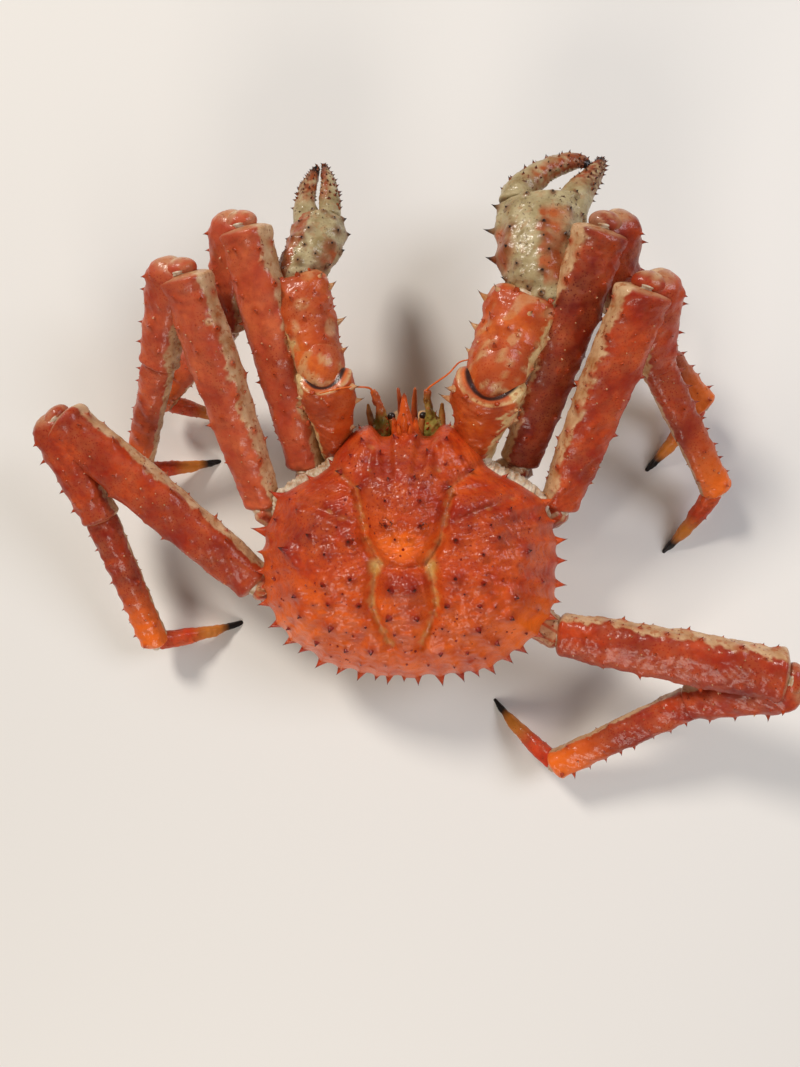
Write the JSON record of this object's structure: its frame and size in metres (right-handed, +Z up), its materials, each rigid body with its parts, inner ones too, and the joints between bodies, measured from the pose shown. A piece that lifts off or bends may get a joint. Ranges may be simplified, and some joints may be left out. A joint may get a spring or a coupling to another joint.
{
  "type": "red king crab",
  "caption": "Life-size still red king crab with a spiny shell, stretched claws and sharply folded walking legs, standing on its toes.",
  "frame": {"origin": "middle of the footprint, on the floor the toes stand on", "axes": "+Z up; the head looks along -Y; the crab's left is +X"},
  "size_m": [0.4334, 0.3654, 0.1204],
  "materials": {
    "shell_red": "wet shell, satin to glossy",
    "limb_red": "wet shell, satin to glossy",
    "toe_red": "satin horn",
    "claw_cream": "satin shell",
    "shell_pale": "satin shell",
    "feeler": "satin",
    "eye_black": "glossy"
  },
  "bodies": {
    "root": {"carapace": "shell_red", "thorax": "shell_pale", "abdomen": "shell_pale", "leg2_left_base": "limb_red", "leg2_left_merus": "limb_red", "leg2_left_carpus": "limb_red", "leg2_left_propodus": "limb_red", "leg2_left_dactylus": "toe_red", "leg2_right_base": "limb_red", "leg2_right_merus": "limb_red", "leg2_right_carpus": "limb_red", "leg2_right_propodus": "limb_red", "leg2_right_dactylus": "toe_red", "leg3_left_base": "limb_red", "leg3_left_merus": "limb_red", "leg3_left_carpus": "limb_red", "leg3_left_propodus": "limb_red", "leg3_left_dactylus": "toe_red", "leg3_right_base": "limb_red", "leg3_right_merus": "limb_red", "leg3_right_carpus": "limb_red", "leg3_right_propodus": "limb_red", "leg3_right_dactylus": "toe_red", "leg4_left_base": "limb_red", "leg4_left_merus": "limb_red", "leg4_left_carpus": "limb_red", "leg4_left_propodus": "limb_red", "leg4_left_dactylus": "toe_red", "leg4_right_base": "limb_red", "leg4_right_merus": "limb_red", "leg4_right_carpus": "limb_red", "leg4_right_propodus": "limb_red", "leg4_right_dactylus": "toe_red", "claw_right_base": "limb_red", "claw_right_merus": "limb_red", "claw_right_carpus": "limb_red", "claw_right_palm": "claw_cream", "claw_right_finger": "claw_cream", "claw_left_base": "limb_red", "claw_left_merus": "limb_red", "claw_left_carpus": "limb_red", "claw_left_palm": "claw_cream", "claw_left_finger": "claw_cream", "eye_left": "eye_black", "antenna_left": "feeler", "antennule_left": "feeler", "maxilliped_left": "shell_pale", "eye_right": "eye_black", "antenna_right": "feeler", "antennule_right": "feeler", "maxilliped_right": "shell_pale"}
  },
  "joints": []
}
